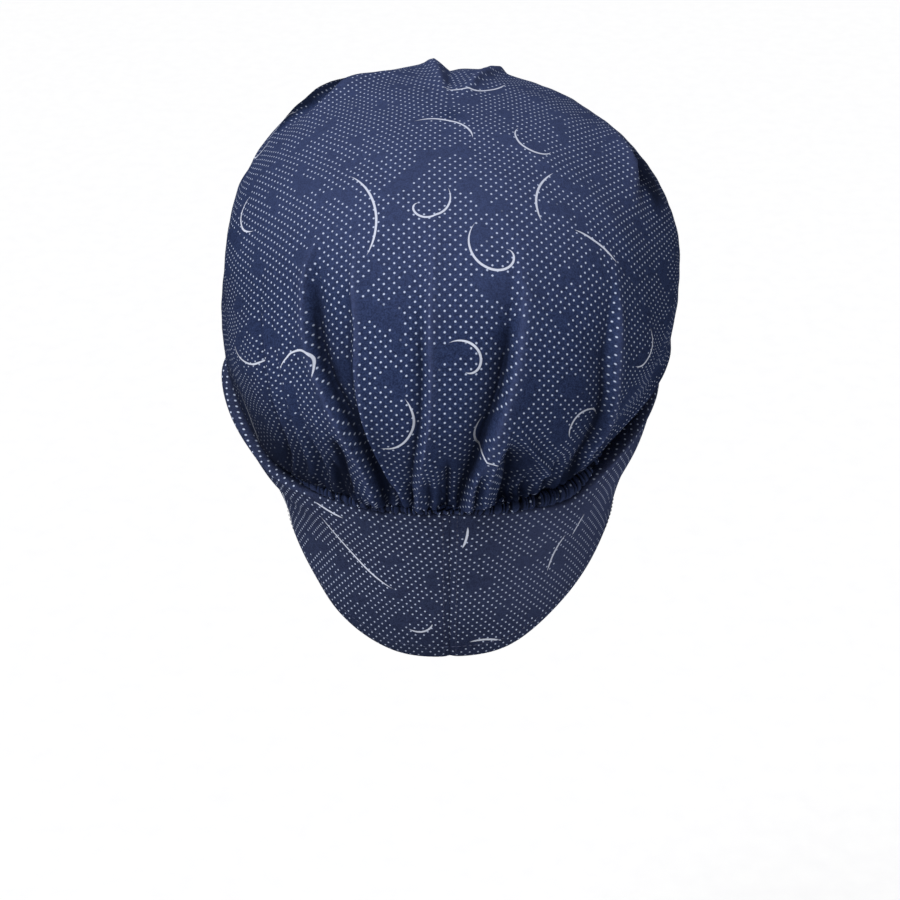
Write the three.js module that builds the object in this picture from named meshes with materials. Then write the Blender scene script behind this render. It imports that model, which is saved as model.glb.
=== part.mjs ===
import * as THREE from "three";

// A turban with a puffed, folded crown, in millimetres.
// +Z is up, the face looks towards -Y and the wearer's left is +X.
// The origin is the centre of the head opening, level with the seam at the nape.
// Azimuths are degrees from the centre back seam, positive towards the wearer's left.

const headHalfWidth = 78;
const headBack = 92;
const headFront = 96;
const crownTopY = 6;
const crownTopZ = 147;
const crownFullness = 2.14;
const crownWall = 2.2;
const bandWall = 2;
const seamGap = 0.3;
const panelColumns = 19;
const frontColumns = 27;
const panelEnd = 100;
const radPerDeg = Math.PI / 180;

// How far apart two places are, in steps and degrees, when a surface's slope is read.
const normalStep = 0.004;
const normalTurn = 0.5;

const navy = 0x2b3252;
const deepNavy = 0x242a45;
const clothRoughness = 0.85;

// The band and nape panels: outward offset from the head and height of each line, from hem to rim.
const bandColumns = ["az", "hemOut", "hemZ", "midOut", "midZ", "shoulderOut", "shoulderZ",
  "crestOut", "crestZ", "rimOut", "rimZ"];
const bandRows = [
  [-180, 3, 8, 4, 26, 4, 40, 4, 46, 3, 50],
  [-150, 3, 0, 4, 18, 5, 34, 5, 41, 4, 46],
  [-120, 1, -30, 5, -4, 9, 18, 10, 25, 8, 31],
  [-90, 0, -48, 5.5, -26, 17, 5, 19.5, 15, 15, 21],
  [-65, -1, -56, 4, -28, 12.5, 2, 13.5, 9.5, 4, 13],
  [-52, -3, -65, 1.5, -33, 9, -2, 10, 4, 3, 6.5],
  [-40, -5, -73, -1, -38, 5, -11, 4.5, -6.5, 1, -4.4],
  [-20, -9, -87, -4, -44, 1, -8.5, 1.5, -4.3, 0, -2.6],
  [0, -11, -90, -5, -45, 1, -5, 1.5, -1, 0, 0.6],
  [20, -8.5, -89, -4, -45, 1, -9, 1.5, -4.8, 0, -3],
  [40, -4, -78, -2.5, -40, 4, -13, 4.5, -8.5, 2.5, -6],
  [52, -3, -69, 0, -35, 9, -14.5, 10, -9.5, 5, -6.6],
  [65, -1, -59, 5, -30, 14, -13, 16, -7, 9, -4],
  [90, -1, -47, 12, -23, 25.5, 6, 28, 16, 17, 22],
  [120, 1, -30, 7, -4, 12, 18, 13, 25, 10, 31],
  [150, 3, 0, 4, 18, 5, 34, 5, 41, 4, 46],
  [180, 3, 8, 4, 26, 4, 40, 4, 46, 3, 50],
];
const bandSteps = [0, 0.45, 0.88, 0.95, 1];

// The crown: where it starts above the rim, turns out over the crease, rises and is widest.
const crownColumns = ["az", "startOut", "startZ", "turnOut", "turnZ", "lowOut", "lowZ", "bulgeOut", "bulgeZ"];
const crownRows = [
  [-180, 3, 50.5, 7, 54, 14, 66, 21, 95],
  [-150, 4, 46.5, 8, 50, 16, 62, 22.5, 84],
  [-120, 8, 31.5, 14, 36, 19, 48, 26, 73],
  [-90, 15, 21.6, 20, 24.5, 22.5, 38, 26, 68],
  [-65, 4, 13.6, 10, 15.5, 14, 27, 21.5, 58],
  [-52, 2.8, 8.2, 7, 11.5, 11.5, 24, 23, 57],
  [-40, 0.6, 2.6, 4.6, 6.2, 10.5, 19, 25, 57],
  [-20, 0.2, 2, 4, 4.4, 11.5, 17, 26.5, 59],
  [0, 0.4, 3.4, 5, 3.6, 12.5, 18, 27, 60],
  [20, 0.4, 0.6, 5, 1.6, 12, 15.5, 27, 59],
  [40, 2.4, -2.2, 7, -0.6, 12.5, 13, 25.5, 57],
  [52, 5, -4.6, 10, -2.6, 14.5, 12.5, 24.5, 56],
  [65, 9, -3.4, 14, -1, 17.5, 14, 23.5, 56],
  [90, 17, 22.6, 24, 26, 26.5, 38, 24.5, 66],
  [120, 10, 31.5, 16, 36, 20, 50, 24, 84],
  [150, 4, 46.5, 8, 50, 16, 63, 25, 93],
  [180, 3, 50.5, 7, 54, 14, 66, 21, 95],
];
const crownSteps = [0, 0.03, 0.1, 0.3, 0.42, 0.54, 0.66, 0.78, 0.89, 1];

// The gathers fan out as they rise: where a column of cloth at one azimuth of the seam has got to
// at each of these steps.
const fanSteps = [0, 0.1, 0.2, 0.3, 0.4, 0.5, 0.6, 0.7];
const fanRows = [
  [-180, -180, -180, -180, -180, -180, -180, -180],
  [-90, -90, -90, -90, -90, -90, -90, -90],
  [-60, -60, -60, -60, -60, -60, -61, -62],
  [-34, -35, -34.4, -33.6, -35.4, -39.6, -44, -48],
  [-20.5, -21, -22, -23, -24.5, -27, -30, -33],
  [-3, -4.3, -6.7, -9, -12.2, -14.9, -17.2, -19.4],
  [-0.6, -1.9, -4.3, -6.6, -9.8, -12.5, -14.8, -17],
  [8.6, 7.4, 6.4, 5.1, 4.1, 3.8, 3.2, 2.6],
  [15.4, 15.6, 16.8, 19.6, 26, 32.4, 36.5, 38],
  [18, 18.2, 19.4, 22.2, 28.6, 35, 39.1, 40.6],
  [34.5, 35, 36, 38, 41, 45, 48, 50],
  [52, 47.6, 46, 46.5, 50, 55, 59, 61],
  [90, 90, 90, 90, 90, 90, 90, 90],
  [180, 180, 180, 180, 180, 180, 180, 180],
];

// Folds that run up from the seam along a column: positive heights are ridges, negative are valleys.
// The widths are to the low and high azimuth sides of the fold's line.
const foldColumns = ["seamAz", "start", "full", "fade", "end", "height", "low", "high"];
const foldRows = [
  [15.4, -0.1, 0.02, 0.42, 0.62, -7.5, 9, 3],
  [18, -0.1, 0.08, 0.5, 0.68, 3.6, 3, 9],
  [13.2, -0.1, 0.06, 0.42, 0.68, 2.4, 3, 3],
  [8.6, -0.1, 0.06, 0.4, 0.62, 2, 3, 4],
  [7.2, -0.1, 0.04, 0.24, 0.42, -2.8, 3.4, 2.5],
  [-0.6, -0.1, 0.02, 0.38, 0.56, -7.5, 3, 10],
  [-3, -0.1, 0.08, 0.5, 0.7, 3.6, 9, 3],
  [-34, 0, 0.12, 0.36, 0.56, -4.2, 3.5, 10],
  [-37, 0.02, 0.16, 0.42, 0.6, 2.6, 6, 3.5],
  [52, 0, 0.1, 0.34, 0.56, -2.4, 3.5, 5],
  [41, 0, 0.06, 0.24, 0.42, -2, 3.5, 3],
  [-12, 0, 0.05, 0.17, 0.27, -8, 5, 4],
  [24, 0.04, 0.11, 0.18, 0.27, -8, 4, 4],
  [11, -0.1, 0, 0.06, 0.17, -3.5, 2.5, 2.5],
  [5.2, -0.1, 0, 0.08, 0.2, -4, 2.5, 2.5],
  [1.6, -0.1, 0, 0.1, 0.2, -4, 2.5, 2.5],
  [-6, -0.1, 0, 0.1, 0.22, -4, 2.5, 2.5],
  [-21, -0.1, 0, 0.06, 0.15, -4, 3, 3],
  [-27, -0.1, 0, 0.08, 0.2, -4, 3, 3.5],
  [30, -0.1, 0.02, 0.14, 0.34, -3.2, 4, 5],
  [174, 0.5, 0.68, 0.84, 0.95, 4, 4, 6],
  [180, 0.4, 0.6, 0.84, 0.95, -3, 5, 5],
  [196, 0.5, 0.68, 0.84, 0.95, 4, 5, 2.5],
];

// How sharply a fold comes to its line.
const foldPower = 1.3;

// Folds that lie round the crown, from one azimuth and step to another.
const layColumns = ["fromAz", "fromStep", "toAz", "toStep", "height", "below", "above"];
const layRows = [
  [102, 0.615, 168, 0.665, 2, 6, 4],
  [104, 0.655, 168, 0.7, -6, 5, 5],
  [102, 0.72, 172, 0.76, 6, 6, 9],
  [-130, 0.7, -62, 0.555, -8, 10, 4.5],
  [-130, 0.75, -62, 0.605, 4, 5, 9],
];
const layScale = 225;

// The seam holds the folds flat; they reach their full height a little above it.
const seamHold = 0.15;
const seamRelease = 0.07;

// Near the seam the folds move the cloth level; above this step they move it square to the surface.
const levelFolds = 0.2;

// Plain pleats that take up the crown's fullness over the forehead.
const pleatCount = 9;
const pleatPitch = 9.5;
const pleatDepth = 4;
const pleatWidth = 3.5;
const pleatFade = 0.22;
const pleatEnd = 0.6;

// Columns and rows of the sheets: each span is from, to and count, with edges on the main folds.
const crownSpans = [[-180, -156, 7], [-156, -60, 20], [-60, -3, 20], [-3, -0.6, 2], [-0.6, 8.6, 9],
  [8.6, 15.4, 9], [15.4, 18, 2], [18, 60, 12], [60, 156, 18], [156, 180, 7]];
const crownRowSteps = [0, 0.03, 0.065, 0.1, 0.14, 0.18, 0.225, 0.27, 0.32, 0.37, 0.42, 0.48, 0.54, 0.6,
  0.65, 0.7, 0.75, 0.81, 0.87, 0.935, 1];
const bandRowSteps = [0, 0.15, 0.3, 0.45, 0.66, 0.88, 0.95, 1];

// The ruched casing: a strip in the crease that tapers to a point at each end.
const casingStart = -50;
const casingEnd = 50;
const casingDepth = 1.6;
const casingTip = 0.3;
const casingTaper = 8;
const casingPinch = 0.225;
const casingSwell = 0.1125;
const casingRuches = 30;
const casingStepsPerRuche = 3;
const casingSides = 6;
const casingOut = -0.6;

function readTable(columns, rows) {
  const table = {};
  columns.forEach((name, column) => {
    table[name] = rows.map((row) => row[column]);
  });
  return table;
}

const band = readTable(bandColumns, bandRows);
const crown = readTable(crownColumns, crownRows);

// A smooth curve through values at uneven places.
function curveThrough(places, values, place) {
  const last = places.length - 1;
  let k = 0;
  while (k < last - 1 && place >= places[k + 1]) {
    k += 1;
  }
  const slopeAt = (n) => {
    const before = n > 0 ? (values[n] - values[n - 1]) / (places[n] - places[n - 1]) : null;
    const after = n < last ? (values[n + 1] - values[n]) / (places[n + 1] - places[n]) : null;
    if (before === null) {
      return after;
    }
    if (after === null) {
      return before;
    }
    const stepBefore = places[n] - places[n - 1];
    const stepAfter = places[n + 1] - places[n];
    return (before * stepAfter + after * stepBefore) / (stepBefore + stepAfter);
  };
  const step = places[k + 1] - places[k];
  const u = (place - places[k]) / step;
  const u2 = u * u;
  const u3 = u2 * u;
  return (2 * u3 - 3 * u2 + 1) * values[k] + (u3 - 2 * u2 + u) * slopeAt(k) * step
    + (3 * u2 - 2 * u3) * values[k + 1] + (u3 - u2) * slopeAt(k + 1) * step;
}

function wrapDegrees(az) {
  return az - 360 * Math.floor((az + 180) / 360);
}

// A table column read all the way round the head.
function around(table, name, az) {
  const places = table.az;
  const values = table[name];
  const last = places.length - 1;
  const ringPlaces = [places[last - 2] - 360, places[last - 1] - 360, ...places, places[1] + 360,
    places[2] + 360];
  const ringValues = [values[last - 2], values[last - 1], ...values, values[1], values[2]];
  return curveThrough(ringPlaces, ringValues, wrapDegrees(az));
}

function headRadius(az) {
  const side = Math.sin(az * radPerDeg) / headHalfWidth;
  const ahead = Math.cos(az * radPerDeg);
  const length = ahead / (ahead > 0 ? headBack : headFront);
  return 1 / Math.hypot(side, length);
}

function placeAt(az, out, z) {
  const radius = headRadius(az) + out;
  return new THREE.Vector3(Math.sin(az * radPerDeg) * radius, Math.cos(az * radPerDeg) * radius, z);
}

function pointOnCurve(places, points, place) {
  const axis = (name) => curveThrough(places, points.map((p) => p[name]), place);
  return new THREE.Vector3(axis("x"), axis("y"), axis("z"));
}

function bandPoint(az, step) {
  const points = ["hem", "mid", "shoulder", "crest", "rim"].map((line) => (
    placeAt(az, around(band, `${line}Out`, az), around(band, `${line}Z`, az))));
  return pointOnCurve(bandSteps, points, step);
}

// The crown without its folds: a superellipse dome over the widest line, and the turned lower edge.
function crownPoint(az, step) {
  const points = ["start", "turn", "low"].map((line) => (
    placeAt(az, around(crown, `${line}Out`, az), around(crown, `${line}Z`, az))));
  const widest = placeAt(az, around(crown, "bulgeOut", az), around(crown, "bulgeZ", az));
  const top = new THREE.Vector3(0, crownTopY, crownTopZ);
  const domeStart = crownSteps[3];
  crownSteps.slice(3).forEach((place) => {
    const angle = (place - domeStart) / (1 - domeStart) * Math.PI / 2;
    const inward = Math.max(Math.cos(angle), 0) ** (2 / crownFullness);
    const rise = Math.sin(angle) ** (2 / crownFullness);
    points.push(new THREE.Vector3(
      top.x + (widest.x - top.x) * inward,
      top.y + (widest.y - top.y) * inward,
      widest.z + (top.z - widest.z) * rise));
  });
  const beforeTop = points[points.length - 2];
  points.push(new THREE.Vector3(2 * top.x - beforeTop.x, 2 * top.y - beforeTop.y, beforeTop.z));
  const places = [...crownSteps, 2 - crownSteps[crownSteps.length - 2]];
  return pointOnCurve(places, points, step);
}

function smoothStep(value) {
  const u = Math.min(Math.max(value, 0), 1);
  return u * u * (3 - 2 * u);
}

function foldProfile(across, low, high) {
  const u = Math.abs(across) / (across < 0 ? low : high);
  return Math.exp(-(u ** foldPower));
}

// Where a column of cloth that starts at a seam azimuth has got to at one step.
function fanAzimuth(column, step) {
  const place = Math.min(Math.max(step, 0), fanSteps[fanSteps.length - 1]);
  const seamAzimuths = fanRows.map((row) => row[0]);
  const azimuths = fanRows.map((row) => curveThrough(fanSteps, row, place));
  return curveThrough(seamAzimuths, azimuths, column);
}

// How far the folds move the crown in or out at one place.
function foldHeight(az, step, radius) {
  let height = 0;
  foldRows.forEach((row) => {
    const fold = Object.fromEntries(foldColumns.map((name, n) => [name, row[n]]));
    const line = fanAzimuth(wrapDegrees(fold.seamAz), step);
    const across = wrapDegrees(az - line) * radPerDeg * radius;
    const near = smoothStep((step - fold.start) / (fold.full - fold.start));
    const far = 1 - smoothStep((step - fold.fade) / (fold.end - fold.fade));
    height += fold.height * near * far * foldProfile(across, fold.low, fold.high);
  });
  layRows.forEach((row) => {
    const lay = Object.fromEntries(layColumns.map((name, column) => [name, row[column]]));
    const along = (az - lay.fromAz) / (lay.toAz - lay.fromAz);
    const swell = smoothStep(2 * along) * smoothStep(2 - 2 * along);
    const across = (step - (lay.fromStep + (lay.toStep - lay.fromStep) * along)) * layScale;
    height += lay.height * swell * foldProfile(across, lay.below, lay.above);
  });
  const pleatReach = 1 - smoothStep((step - pleatFade) / (pleatEnd - pleatFade));
  for (let n = 0; n < pleatCount; n += 1) {
    const line = 180 + (n - (pleatCount - 1) / 2) * pleatPitch;
    const across = wrapDegrees(az - line) * radPerDeg * radius;
    height -= pleatDepth * pleatReach * foldProfile(across, pleatWidth, pleatWidth);
  }
  return height * (seamHold + (1 - seamHold) * smoothStep(step / seamRelease));
}

function outwardNormal(surface, az, step) {
  const low = Math.min(step, 1 - normalStep);
  const up = surface(az, low + normalStep).sub(surface(az, Math.max(low - normalStep, 0)));
  const round = surface(az + normalTurn, low).sub(surface(az - normalTurn, low));
  return up.cross(round).normalize();
}

function crownWallAt(column, step) {
  const az = fanAzimuth(column, step);
  const base = crownPoint(az, step);
  if (step === 1) {
    return [base, base.clone().setZ(base.z - crownWall)];
  }
  const normal = outwardNormal(crownPoint, az, step);
  const radius = Math.hypot(base.x, base.y - crownTopY);
  const level = new THREE.Vector3(normal.x, normal.y, 0).normalize();
  const outward = level.lerp(normal, smoothStep(step / levelFolds)).normalize();
  const outer = base.clone().addScaledVector(outward, foldHeight(az, step, radius));
  return [outer, outer.clone().addScaledVector(normal, -crownWall)];
}

function bandWallAt(az, step) {
  const outer = bandPoint(az, step);
  return [outer, outer.clone().addScaledVector(outwardNormal(bandPoint, az, step), -bandWall)];
}

// A closed wall between an outer and an inner sheet of columns and rows.
// A wrapped wall goes all the way round; a topped one ends in a single point.
function wallGeometry(azimuths, steps, wallAt, wrapped, topped) {
  const positions = [];
  const faces = [];
  const columns = azimuths.length;
  const rows = topped ? steps.length - 1 : steps.length;
  const sheetSize = columns * rows;
  const sheets = [[], []];
  azimuths.forEach((az) => {
    steps.slice(0, rows).forEach((step) => {
      wallAt(az, step).forEach((point, side) => sheets[side].push(point.x, point.y, point.z));
    });
  });
  positions.push(...sheets[0], ...sheets[1]);
  const spot = (side, column, row) => side * sheetSize + (column % columns) * rows + row;
  const quad = (a, b, c, d) => faces.push(a, b, c, a, c, d);
  const lastColumn = wrapped ? columns : columns - 1;
  for (let i = 0; i < lastColumn; i += 1) {
    for (let j = 0; j < rows - 1; j += 1) {
      quad(spot(0, i, j), spot(0, i, j + 1), spot(0, i + 1, j + 1), spot(0, i + 1, j));
      quad(spot(1, i, j), spot(1, i + 1, j), spot(1, i + 1, j + 1), spot(1, i, j + 1));
    }
    quad(spot(0, i, 0), spot(0, i + 1, 0), spot(1, i + 1, 0), spot(1, i, 0));
  }
  if (topped) {
    const tops = wallAt(azimuths[0], 1);
    tops.forEach((point) => positions.push(point.x, point.y, point.z));
    for (let i = 0; i < columns; i += 1) {
      faces.push(spot(0, i, rows - 1), 2 * sheetSize, spot(0, i + 1, rows - 1));
      faces.push(spot(1, i, rows - 1), spot(1, i + 1, rows - 1), 2 * sheetSize + 1);
    }
  } else {
    for (let i = 0; i < lastColumn; i += 1) {
      const j = rows - 1;
      quad(spot(0, i, j), spot(1, i, j), spot(1, i + 1, j), spot(0, i + 1, j));
    }
  }
  if (!wrapped) {
    for (let j = 0; j < rows - 1; j += 1) {
      quad(spot(0, 0, j), spot(1, 0, j), spot(1, 0, j + 1), spot(0, 0, j + 1));
      const i = columns - 1;
      quad(spot(0, i, j), spot(0, i, j + 1), spot(1, i, j + 1), spot(1, i, j));
    }
  }
  return geometryFrom(positions, faces);
}

function geometryFrom(positions, faces) {
  const geometry = new THREE.BufferGeometry();
  geometry.setAttribute("position", new THREE.Float32BufferAttribute(positions, 3));
  geometry.setIndex(faces);
  geometry.computeVertexNormals();
  return geometry;
}

function spread(from, to, count) {
  return Array.from({ length: count }, (_, n) => from + (to - from) * n / (count - 1));
}

// The casing strip: rounded sections swept along the crease, swelling and narrowing at each ruche.
function casingGeometry() {
  const positions = [];
  const faces = [];
  const sections = casingRuches * casingStepsPerRuche + 1;
  spread(casingStart, casingEnd, sections).forEach((az, n) => {
    const below = placeAt(az, around(band, "rimOut", az), around(band, "rimZ", az));
    const above = placeAt(az, around(crown, "startOut", az), around(crown, "startZ", az));
    const outward = new THREE.Vector3(Math.sin(az * radPerDeg), Math.cos(az * radPerDeg), 0);
    const centre = below.clone().add(above).multiplyScalar(0.5).addScaledVector(outward, casingOut);
    const fromEnd = Math.min(az - casingStart, casingEnd - az) / casingTaper;
    const taper = casingTip + (1 - casingTip) * smoothStep(fromEnd);
    const height = below.distanceTo(above) / 2 - seamGap;
    const pinched = n % casingStepsPerRuche === 0;
    const ruche = 1 + taper * (pinched ? -casingPinch : casingSwell);
    for (let k = 0; k < casingSides; k += 1) {
      const turn = 2 * Math.PI * k / casingSides;
      const rise = Math.sin(turn) * height * taper;
      const reach = Math.cos(turn) * casingDepth * taper * ruche;
      positions.push(centre.x + outward.x * reach, centre.y + outward.y * reach, centre.z + rise);
    }
  });
  const spot = (n, k) => n * casingSides + k % casingSides;
  for (let n = 0; n < sections - 1; n += 1) {
    for (let k = 0; k < casingSides; k += 1) {
      faces.push(spot(n, k), spot(n, k + 1), spot(n + 1, k + 1));
      faces.push(spot(n, k), spot(n + 1, k + 1), spot(n + 1, k));
    }
  }
  for (let k = 1; k < casingSides - 1; k += 1) {
    faces.push(spot(0, 0), spot(0, k + 1), spot(0, k));
    faces.push(spot(sections - 1, 0), spot(sections - 1, k), spot(sections - 1, k + 1));
  }
  return geometryFrom(positions, faces);
}

function clothMesh(name, geometry, color) {
  const material = new THREE.MeshStandardMaterial({ color, roughness: clothRoughness, metalness: 0 });
  material.name = `${name}_cloth`;
  const mesh = new THREE.Mesh(geometry, material);
  mesh.name = name;
  return mesh;
}

// Half the seam gap, as an angle at the head's back and at its side.
const backGap = seamGap / 2 / headBack / radPerDeg;
const sideGap = seamGap / 2 / headHalfWidth / radPerDeg;

const crownAzimuths = crownSpans.flatMap(([from, to, count]) => spread(from, to, count + 1).slice(0, -1));
const leftAzimuths = spread(backGap, panelEnd - sideGap, panelColumns);
const rightAzimuths = spread(-panelEnd + sideGap, -backGap, panelColumns);
const frontAzimuths = spread(panelEnd + sideGap, 360 - panelEnd - sideGap, frontColumns);

const turban = new THREE.Group();
turban.name = "turban";
turban.add(
  clothMesh("crown", wallGeometry(crownAzimuths, crownRowSteps, crownWallAt, true, true), navy),
  clothMesh("elastic_casing", casingGeometry(), deepNavy),
  clothMesh("nape_panel_left", wallGeometry(leftAzimuths, bandRowSteps, bandWallAt, false, false), navy),
  clothMesh("nape_panel_right", wallGeometry(rightAzimuths, bandRowSteps, bandWallAt, false, false), navy),
  clothMesh("front_band", wallGeometry(frontAzimuths, bandRowSteps, bandWallAt, false, false), navy),
);

export default turban;
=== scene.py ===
import math

import bpy
import numpy as np
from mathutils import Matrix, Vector


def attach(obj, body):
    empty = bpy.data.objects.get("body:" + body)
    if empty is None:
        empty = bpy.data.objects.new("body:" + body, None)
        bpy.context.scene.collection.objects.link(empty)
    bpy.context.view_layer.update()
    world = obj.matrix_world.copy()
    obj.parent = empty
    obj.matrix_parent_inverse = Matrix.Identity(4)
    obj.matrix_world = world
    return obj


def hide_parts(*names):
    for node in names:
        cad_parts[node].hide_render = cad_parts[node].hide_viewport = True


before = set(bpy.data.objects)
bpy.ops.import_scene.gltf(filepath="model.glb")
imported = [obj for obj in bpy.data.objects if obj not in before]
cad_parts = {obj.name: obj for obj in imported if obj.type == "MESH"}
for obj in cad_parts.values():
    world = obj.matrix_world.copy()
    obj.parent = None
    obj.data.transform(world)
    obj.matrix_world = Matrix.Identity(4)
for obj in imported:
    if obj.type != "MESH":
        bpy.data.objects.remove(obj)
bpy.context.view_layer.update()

mm = 0.001

# The head's plan, the crown's top and the tables below give every surface, in millimetres.
# Azimuths are degrees from the centre back seam, positive towards the wearer's left.
head = {"halfWidth": 78, "back": 92, "front": 96, "topY": 6, "topZ": 147, "fullness": 2.14}

bandSteps = [0, 0.45, 0.88, 0.95, 1]  # hem, mid, shoulder, crest and rim
bandTable = np.array([
    # az, then out and height of hem, mid, shoulder, crest and rim
    (-180, 3, 8, 4, 26, 4, 40, 4, 46, 3, 50),
    (-150, 3, 0, 4, 18, 5, 34, 5, 41, 4, 46),
    (-120, 1, -30, 5, -4, 9, 18, 10, 25, 8, 31),
    (-90, 0, -48, 5.5, -26, 17, 5, 19.5, 15, 15, 21),
    (-65, -1, -56, 4, -28, 12.5, 2, 13.5, 9.5, 4, 13),
    (-52, -3, -65, 1.5, -33, 9, -2, 10, 4, 3, 6.5),
    (-40, -5, -73, -1, -38, 5, -11, 4.5, -6.5, 1, -4.4),
    (-20, -9, -87, -4, -44, 1, -8.5, 1.5, -4.3, 0, -2.6),
    (0, -11, -90, -5, -45, 1, -5, 1.5, -1, 0, 0.6),
    (20, -8.5, -89, -4, -45, 1, -9, 1.5, -4.8, 0, -3),
    (40, -4, -78, -2.5, -40, 4, -13, 4.5, -8.5, 2.5, -6),
    (52, -3, -69, 0, -35, 9, -14.5, 10, -9.5, 5, -6.6),
    (65, -1, -59, 5, -30, 14, -13, 16, -7, 9, -4),
    (90, -1, -47, 12, -23, 25.5, 6, 28, 16, 17, 22),
    (120, 1, -30, 7, -4, 12, 18, 13, 25, 10, 31),
    (150, 3, 0, 4, 18, 5, 34, 5, 41, 4, 46),
    (180, 3, 8, 4, 26, 4, 40, 4, 46, 3, 50)], float)

crownSteps = [0, 0.03, 0.1, 0.3, 0.42, 0.54, 0.66, 0.78, 0.89, 1]  # start, turn, low, bulge, then the dome
crownTable = np.array([
    # az, then out and height of start, turn, low and bulge
    (-180, 3, 50.5, 7, 54, 14, 66, 21, 95),
    (-150, 4, 46.5, 8, 50, 16, 62, 22.5, 84),
    (-120, 8, 31.5, 14, 36, 19, 48, 26, 73),
    (-90, 15, 21.6, 20, 24.5, 22.5, 38, 26, 68),
    (-65, 4, 13.6, 10, 15.5, 14, 27, 21.5, 58),
    (-52, 2.8, 8.2, 7, 11.5, 11.5, 24, 23, 57),
    (-40, 0.6, 2.6, 4.6, 6.2, 10.5, 19, 25, 57),
    (-20, 0.2, 2, 4, 4.4, 11.5, 17, 26.5, 59),
    (0, 0.4, 3.4, 5, 3.6, 12.5, 18, 27, 60),
    (20, 0.4, 0.6, 5, 1.6, 12, 15.5, 27, 59),
    (40, 2.4, -2.2, 7, -0.6, 12.5, 13, 25.5, 57),
    (52, 5, -4.6, 10, -2.6, 14.5, 12.5, 24.5, 56),
    (65, 9, -3.4, 14, -1, 17.5, 14, 23.5, 56),
    (90, 17, 22.6, 24, 26, 26.5, 38, 24.5, 66),
    (120, 10, 31.5, 16, 36, 20, 50, 24, 84),
    (150, 4, 46.5, 8, 50, 16, 63, 25, 93),
    (180, 3, 50.5, 7, 54, 14, 66, 21, 95)], float)

# Columns of cloth fan out as they rise from the gathers: the azimuth of each at every one of foldSteps.
foldSteps = [0, 0.1, 0.2, 0.3, 0.4, 0.5, 0.6, 0.7]
rightRidge = (-3, -4.3, -6.7, -9, -12.2, -14.9, -17.2, -19.4)
rightMain = (-0.6, -1.9, -4.3, -6.6, -9.8, -12.5, -14.8, -17)
middleFold = (10.4, 9.4, 7.8, 6.2, 5.8, 6.2, 6.5, 6.6)
leftMain = (16.4, 16.9, 18, 21.6, 28, 33, 36.6, 38)
leftRidge = (19, 19.5, 20.6, 24.2, 30.6, 35.6, 39.2, 40.6)
rightSoft = (-34, -35, -34.4, -33.6, -35.4, -39.6, -44, -48)
leftSoft = (52, 47.6, 46, 46.5, 50, 55, 59, 61)
pocket = (26.6, 26.4, 25, 25.2, 26, 27, 28, 29)
leftSecond = (11.2, 13, 15.6, 17.5, 19.2, 21, 25, 30)
rightHollow = (-13.4, -14.6, -13.2, -12.4, -12.4, -12.4, -12.4, -12.4)
centreTuck = (0.9, 0.7, 0.4, 0, 0, 0, 0, 0)
leftTuck = (5.6, 5.2, 5, 5, 5, 5, 5, 5)
rightTuck = (-6, -6.4, -7.4, -9, -10, -10, -10, -10)
outerTuck = (29, 29.4, 30.4, 32, 34, 36, 38, 40)
fanTable = np.array([
    (-180,) * 8, (-90,) * 8, (-60, -60, -60, -60, -60, -60, -61, -62), rightSoft,
    (-20.5, -21, -22, -23, -24.5, -27, -30, -33), rightRidge, rightMain, middleFold, leftMain, leftRidge,
    (34.5, 35, 36, 38, 41, 45, 48, 50), leftSoft, (90,) * 8, (180,) * 8], float)

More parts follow.
